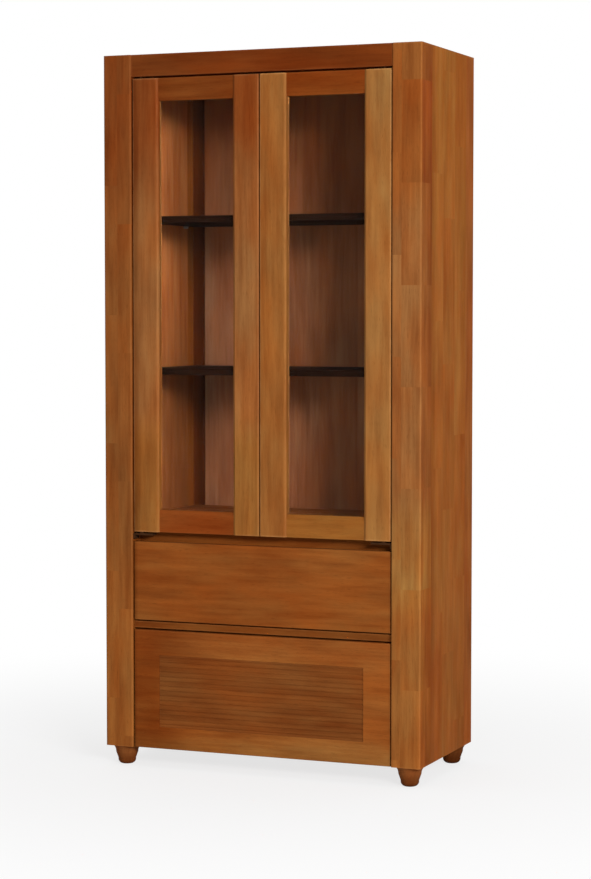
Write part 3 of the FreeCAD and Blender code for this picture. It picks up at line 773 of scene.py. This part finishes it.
class DressPosts(Operator):
    """Give the four posts their upright grain"""

    bl_idname = "bookcase.dress_posts"
    bl_label = "Posts"

    def execute(self, context):
        colour = context.scene.bookcase_stains.post
        # Painted shade: every face behind the front is darker and more saturated than the front face, more
        # so towards the back
        painted_side_shade = (Drift("Y", -0.0365, -0.0310, (0.92, 0.767, 0.546)),
                  Drift("Y", -0.015, 0.040, (0.826, 0.724, 0.584)))
        # The wear amounts of the posts also set the painted highlight on their front corners
        dress_board("front_post_left", shade(colour, 1.109, 1.153, 1.072), UPRIGHT_FRONT, seed=87.265,
                    planks=0.038, aside=0.019, blocks=0.325, block_tone=0.6, wear=0.3, joined=("+Y",),
                    drifts=(Drift("Z", -0.70, -0.05, (0.806, 0.774, 0.838)),
                            Drift("Z", 0.15, 0.75, (0.849, 0.643, 0.569)), *painted_side_shade))
        dress_board("front_post_right", shade(colour, 1.168, 1.232, 1.136), UPRIGHT_FRONT, seed=82.495,
                    planks=0.051, aside=0.0385, blocks=0.245, block_tone=0.55, wear=0.5, joined=("+Y",),
                    drifts=(Drift("Z", -0.55, -0.10, (0.917, 0.969, 1.224)),
                            Drift("Z", 0.40, 0.58, (0.941, 0.772, 0.579)),
                            Drift("Z", -0.19, -0.29, (1.06, 1.27, 1.33)),
                            Drift("Z", -0.45, -0.53, (0.943, 0.787, 0.752)), *painted_side_shade))
        dress_boards(("rear_post_left", "rear_post_right"), shade(colour, 0.98, 0.84, 0.62), UPRIGHT_FRONT,
                     seed=5.9, joined=("-Y",))
        return {"FINISHED"}


class DressSides(Operator):
    """Give the side boards their glued upright planks, and their core bare wood, stained where it shows"""

    bl_idname = "bookcase.dress_sides"
    bl_label = "Side boards"

    def execute(self, context):
        stains = context.scene.bookcase_stains
        dress_boards(("outer_side_left", "outer_side_right"), stains.side, UPRIGHT_SIDE, seed=11.4,
                     planks=0.0867, plank_tone=0.08, blocks=0.36, block_tone=0.35, rings=0.06, streaks=0.20,
                     clouds=0.40, wear=0.0,
                     drifts=(Drift("Z", -0.15, -0.80, (0.92, 0.86, 0.84)),
                             Drift("Y", -0.085, -0.125, (0.80, 0.72, 0.60)),
                             Drift("Y", 0.045, 0.130, (0.92, 0.85, 0.70)),
                             Drift("Z", 0.25, 0.75, (1.03, 1.08, 0.98))))
        # The inner sides are lighter overall and darker from the middle downwards: partly stain, partly
        # painted shade
        dress_boards(("inner_side_left", "inner_side_right"), shade(stains.inner, 1.14, 1.09, 1.12),
                     UPRIGHT_SIDE, seed=15.9, planks=0.0867, plank_tone=0.12, wear=0.0,
                     drifts=(Drift("Z", 0.25, -0.05, (0.65, 0.68, 0.715)),))
        stained = (0.27, 0.08, 0.027)
        shown_ends = (Drift("Z", 0.8725, 0.8745, stained), Drift("Z", -0.8725, -0.8745, stained))
        dress_board("side_core_battens", stains.core, DEEP_SIDE, seed=19.2, drifts=shown_ends, wear=0.0)
        return {"FINISHED"}


class DressRails(Operator):
    """Give the top, the top rail and the cross rails their level grain"""

    bl_idname = "bookcase.dress_rails"
    bl_label = "Rails and top"

    def execute(self, context):
        stains = context.scene.bookcase_stains
        dress_board("top_rail", shade(stains.rail, 1.0, 1.05, 1.11), LEVEL_FRONT, seed=23.7,
                    drifts=(Drift("X", -0.10, 0.20, (1.01, 0.91, 0.80)),))
        dress_board("rail_below_doors", stains.drawer, LEVEL_FRONT, seed=25.1, tone=1.05)
        # The rail between the drawers is darkened by its tone: painted shade in the gap
        dress_board("rail_between_drawers", stains.drawer, LEVEL_FRONT, seed=26.4, tone=0.82)
        dress_board("top_panel", stains.rail, LEVEL_FLAT, seed=28.3, planks=0.09, plank_tone=0.15)
        return {"FINISHED"}


class DressInside(Operator):
    """Give the ceiling, the floors, the back, its battens and the shelves their finish"""

    bl_idname = "bookcase.dress_inside"
    bl_label = "Inside and back"

    def execute(self, context):
        stains = context.scene.bookcase_stains
        floors = ("ceiling_panel", "cabinet_floor", "bottom_panel")
        dress_boards(floors, stains.inner, LEVEL_FLAT, seed=31.6, planks=0.11, plank_tone=0.15)
        # The back is darker towards the top, partly stain and partly painted shade under the ceiling, and
        # lighter and greyer towards the left end, partly painted light
        dress_board("back_panel", stains.back, UPRIGHT_FRONT, seed=36.2, planks=0.23, plank_tone=0.12,
                    drifts=(Drift("Z", 0.20, 0.85, (0.64, 0.48, 0.310)),
                            Drift("X", -0.16, -0.26, (1.05, 1.16, 1.31))))
        # Painted shade: the battens are darker away from the left wall, and the right batten all over
        dress_board("back_battens", stains.batten, UPRIGHT_FRONT, seed=38.8,
                    drifts=(Drift("X", -0.340, -0.325, (0.62, 0.60, 0.62)),))
        dress_boards(("lower_shelf", "upper_shelf"), stains.shelf, LEVEL_FLAT, seed=41.5, wear=0.15)
        return {"FINISHED"}


class DressFeet(Operator):
    """Give the turned feet their upright grain"""

    bl_idname = "bookcase.dress_feet"
    bl_label = "Feet"

    def execute(self, context):
        colour = context.scene.bookcase_stains.foot
        # Painted shade: the feet darker towards the floor, and the rear feet darker all over through their
        # tone
        darker = (Drift("Z", 0.010, -0.020, (0.62, 0.55, 0.50)),)
        dress_boards(("front_foot_left", "front_foot_right"), colour, UPRIGHT_FRONT, seed=45.0,
                     drifts=darker)
        dress_boards(("rear_foot_left", "rear_foot_right"), colour, UPRIGHT_FRONT, seed=48.0,
                     drifts=darker, tone=0.6)
        return {"FINISHED"}


class DressDoors(Operator):
    """Give the door frames and glazing beads their grain, and the panes their glass"""

    bl_idname = "bookcase.dress_doors"
    bl_label = "Doors and glass"

    def execute(self, context):
        stains = context.scene.bookcase_stains
        self.dress_stiles(stains.door)
        self.dress_door_rails(stains.door_rail)
        glass = clear_glass("door_glass")
        for door, seed in (("left_door_", 59.2), ("right_door_", 68.9)):
            dress_board(door + "glazing_beads", stains.door, UPRIGHT_FRONT, seed, tone=0.9)
            dress(door + "glass", glass)
        return {"FINISHED"}

    def dress_stiles(self, colour):
        """The upright pieces, which turn redder or paler towards their ends."""
        red_top = Drift("Z", 0.08, 0.52, (0.79, 0.51, 0.37))
        redder = Drift("Z", 0.08, 0.52, (0.80, 0.56, 0.42))
        yellower = Drift("Z", -0.24, -0.36, (1.00, 0.97, 0.72))
        shaded_edge = Drift("X", -0.012, -0.030, (0.66, 0.60, 0.56))
        paler_top = Drift("Z", 0.05, 0.30, (1.02, 1.12, 1.17))
        paler_foot = Drift("Z", -0.20, -0.40, (1.07, 1.08, 1.03))
        # The wear amounts also set how strong the painted highlights along the stiles' edges are
        dress_board("left_door_hinge_stile", shade(colour, 1.02, 1.08, 1.18), UPRIGHT_FRONT, seed=51.3,
                    drifts=(red_top, yellower, shaded_edge), wear=0.8)
        dress_board("left_door_meeting_stile", shade(colour, 1.00, 1.03, 1.09), UPRIGHT_FRONT, seed=52.67,
                    drifts=(redder, yellower), wear=0.5)
        dress_board("right_door_hinge_stile", shade(colour, 1.07, 1.16, 1.10), UPRIGHT_FRONT, seed=61.0,
                    drifts=(paler_top, paler_foot), wear=1.1)
        dress_board("right_door_meeting_stile", shade(colour, 0.99, 1.00, 0.87), UPRIGHT_FRONT, seed=62.37,
                    wear=1.4)

    def dress_door_rails(self, colour):
        """The level pieces, the lower ones paler."""
        dress_board("left_door_top_rail", shade(colour, 0.82, 0.82, 0.84), LEVEL_FRONT, seed=54.04,
                    wear=0.6)
        dress_board("left_door_bottom_rail", shade(colour, 1.07, 1.13, 1.28), LEVEL_FRONT, seed=55.41,
                    wear=0.3)
        dress_board("right_door_top_rail", shade(colour, 0.92, 0.88, 0.80), LEVEL_FRONT, seed=63.74,
                    wear=0.6)
        dress_board("right_door_bottom_rail", shade(colour, 1.145, 1.74, 1.91), LEVEL_FRONT, seed=65.11,
                    wear=0.3)


class DressDrawers(Operator):
    """Give the drawer fronts and the reeded panel their level grain, and the boxes their pale wood"""

    bl_idname = "bookcase.dress_drawers"
    bl_label = "Drawers"

    def execute(self, context):
        stains = context.scene.bookcase_stains
        # Painted shade: the drawer fronts are darker at both ends, beside the gaps to the posts
        painted_gap_shade_right = Drift("X", 0.3395, 0.3465, (0.70, 0.68, 0.66))
        dress_board("upper_drawer_front", stains.drawer, LEVEL_FRONT, seed=71.2, wear=0.25,
                    drifts=(Drift("X", 0.02, 0.30, (1.08, 1.24, 1.36)),
                            Drift("X", -0.332, -0.347, (0.62, 0.60, 0.58)), painted_gap_shade_right))
        dress_board("lower_drawer_front", shade(stains.drawer, 1.16, 1.30, 1.42), LEVEL_FRONT, seed=72.6,
                    wear=0.25,
                    drifts=(Drift("X", -0.12, -0.31, (0.73, 0.58, 0.48)),
                            Drift("Z", 0.04, 0.13, (0.96, 0.87, 0.84)),
                            Drift("Z", -0.09, -0.14, (1.06, 1.28, 1.46)),
                            Drift("X", -0.334, -0.347, (0.78, 0.76, 0.74)), painted_gap_shade_right))
        dress_board("lower_drawer_reeded_panel", stains.reed, LEVEL_FRONT, seed=75.5, wear=0.2,
                    drifts=(Drift("X", 0.05, 0.25, (1.05, 1.08, 1.08)),))
        pale = {"rings": 0.26, "streaks": 0.20, "clouds": 0.14, "shine": 0.4}
        for drawer, seed in (("upper_drawer_", 81.9), ("lower_drawer_", 88.2)):
            dress_board(drawer + "sides", stains.box, DEEP_SIDE, seed, **pale)
            dress_board(drawer + "back", stains.box, LEVEL_FRONT, seed + 1.7, **pale)
            dress_board(drawer + "bottom", stains.box, LEVEL_FLAT, seed + 3.4, planks=0.3, **pale)
        return {"FINISHED"}


class DressFittings(Operator):
    """Give the pivots, catches, pegs, bolts and drawer slides their metal and plastic"""

    bl_idname = "bookcase.dress_fittings"
    bl_label = "Fittings"

    def execute(self, context):
        finish = context.scene.bookcase_finish
        steel = metal("zinc_steel", finish.steel, shade(finish.steel, 0.62, 0.64, 0.68),
                      smoothness=0.72, patches=0.5)
        brass = metal("pivot_brass", finish.brass, shade(finish.brass, 0.55, 0.45, 0.40),
                      smoothness=0.74, patches=0.6)
        black = metal("black_metal", finish.black, shade(finish.black, 2.0, 1.9, 1.8),
                      smoothness=0.40, patches=0.5, metallic=0.0, shine=0.01)
        plastic = metal("catch_plastic", finish.catch, shade(finish.catch, 1.4, 1.35, 1.3),
                        smoothness=0.45, patches=0.4, metallic=0.0, shine=0.25)
        for node in ("foot_bolts", "slide_channels", "upper_slide_middles", "lower_slide_middles",
                     "upper_drawer_runners", "lower_drawer_runners", "shelf_pegs",
                     "left_door_strike_plate", "right_door_strike_plate"):
            dress(node, steel)
        for node in ("left_door_pivot_sockets", "right_door_pivot_sockets"):
            dress(node, brass)
        for node in ("bottom_pivots", "top_pivots", "pivot_screws"):
            dress(node, black)
        dress("door_catches", plastic)
        return {"FINISHED"}


class DrivePins(Operator):
    """Drive the panel pins into the back, and the fine pins into the glazing beads"""

    bl_idname = "bookcase.drive_pins"
    bl_label = "Pins"

    def execute(self, context):
        fittings = context.scene.bookcase_fittings
        low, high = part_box("back_battens")
        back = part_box("back_panel")[1].y
        edge = high.x - fittings.pin_inset
        across = evenly(-edge, edge, fittings.pin_gap)
        upright = evenly(low.z, high.z, fittings.pin_gap)[1:-1]
        boards = ("top_panel", "ceiling_panel", "cabinet_floor", "bottom_panel")
        places = [(x, back, middle_height(board)) for board in boards for x in across]
        places += [(x, back, z) for x in (-edge, edge) for z in upright]
        self.drive(fittings, places, fittings.pin_head, "back_panel_pins", "case", "zinc_steel")
        for door in ("left_door", "right_door"):
            low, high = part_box(door + "_glazing_beads")
            inset = fittings.bead_pin_inset
            sides = (low.x + inset, high.x - inset)
            ends = (low.z + inset, high.z - inset)
            places = [(x, high.y, z) for x in sides for z in evenly(*ends, fittings.bead_pin_gap)]
            places += [(x, high.y, z) for z in ends for x in evenly(*sides, fittings.bead_pin_gap)[1:-1]]
            self.drive(fittings, places, fittings.bead_pin_head, door + "_bead_pins", door, "pivot_brass")
        return {"FINISHED"}

    def drive(self, fittings, places, radius, name, body, slot_name):
        """Domed heads of one radius, each a little sunk in the wood."""
        outline = [(radius * out, radius * up) for out, up in PIN_OUTLINE]
        bm = repeated_head(outline, fittings.turns, [facing_back(*place) for place in places])
        finish_piece(bm, name, bpy.data.materials[slot_name], body)


class SetStage(Operator):
    """Lay the pale floor, hang the soft lights and stand the camera where the picture was taken"""

    bl_idname = "bookcase.set_stage"
    bl_label = "Stage"

    def execute(self, context):
        stage = context.scene.bookcase_stage
        lay_floor(stage)
        light_world(context.scene, stage)
        soft_light("key_light", stage.key, KEY_SIZE, KEY_PLACE, KEY_AIM)
        soft_light("top_light", stage.top, TOP_SIZE, TOP_PLACE, TOP_AIM)
        stand_camera(context.scene, stage)
        context.scene.view_settings.view_transform = "Standard"
        return {"FINISHED"}


BUILDERS = (DressPosts, DressSides, DressRails, DressInside, DressFeet, DressDoors, DressDrawers,
            DressFittings, DrivePins, SetStage)
SETTINGS = {"bookcase_stains": BookcaseStains, "bookcase_finish": BookcaseFinish,
            "bookcase_fittings": BookcaseFittings, "bookcase_stage": BookcaseStage}


class BookcasePanel(Panel):
    """Lists the steps that finish the bookcase, and their settings"""

    bl_idname = "VIEW3D_PT_bookcase"
    bl_label = "Bookcase"
    bl_space_type = "VIEW_3D"
    bl_region_type = "UI"
    bl_category = "Bookcase"

    def draw(self, context):
        for builder in BUILDERS:
            self.layout.operator(builder.bl_idname)
        for attribute, group in SETTINGS.items():
            box = self.layout.box()
            for label in group.__annotations__:
                box.prop(getattr(context.scene, attribute), label)


CLASSES = (*SETTINGS.values(), *BUILDERS, BookcasePanel)


def register():
    """Register the classes, and give the scene its settings."""
    for cls in CLASSES:
        bpy.utils.register_class(cls)
    for attribute, group in SETTINGS.items():
        setattr(bpy.types.Scene, attribute, PointerProperty(type=group))


def unregister():
    """Take back what register did."""
    for attribute in SETTINGS:
        delattr(bpy.types.Scene, attribute)
    for cls in reversed(CLASSES):
        bpy.utils.unregister_class(cls)


def main():
    """Finish the bookcase step by step."""
    register()
    bpy.ops.bookcase.dress_posts()
    bpy.ops.bookcase.dress_sides()
    bpy.ops.bookcase.dress_rails()
    bpy.ops.bookcase.dress_inside()
    bpy.ops.bookcase.dress_feet()
    bpy.ops.bookcase.dress_doors()
    bpy.ops.bookcase.dress_drawers()
    bpy.ops.bookcase.dress_fittings()
    bpy.ops.bookcase.drive_pins()
    bpy.ops.bookcase.set_stage()


if __name__ == "__main__":
    main()
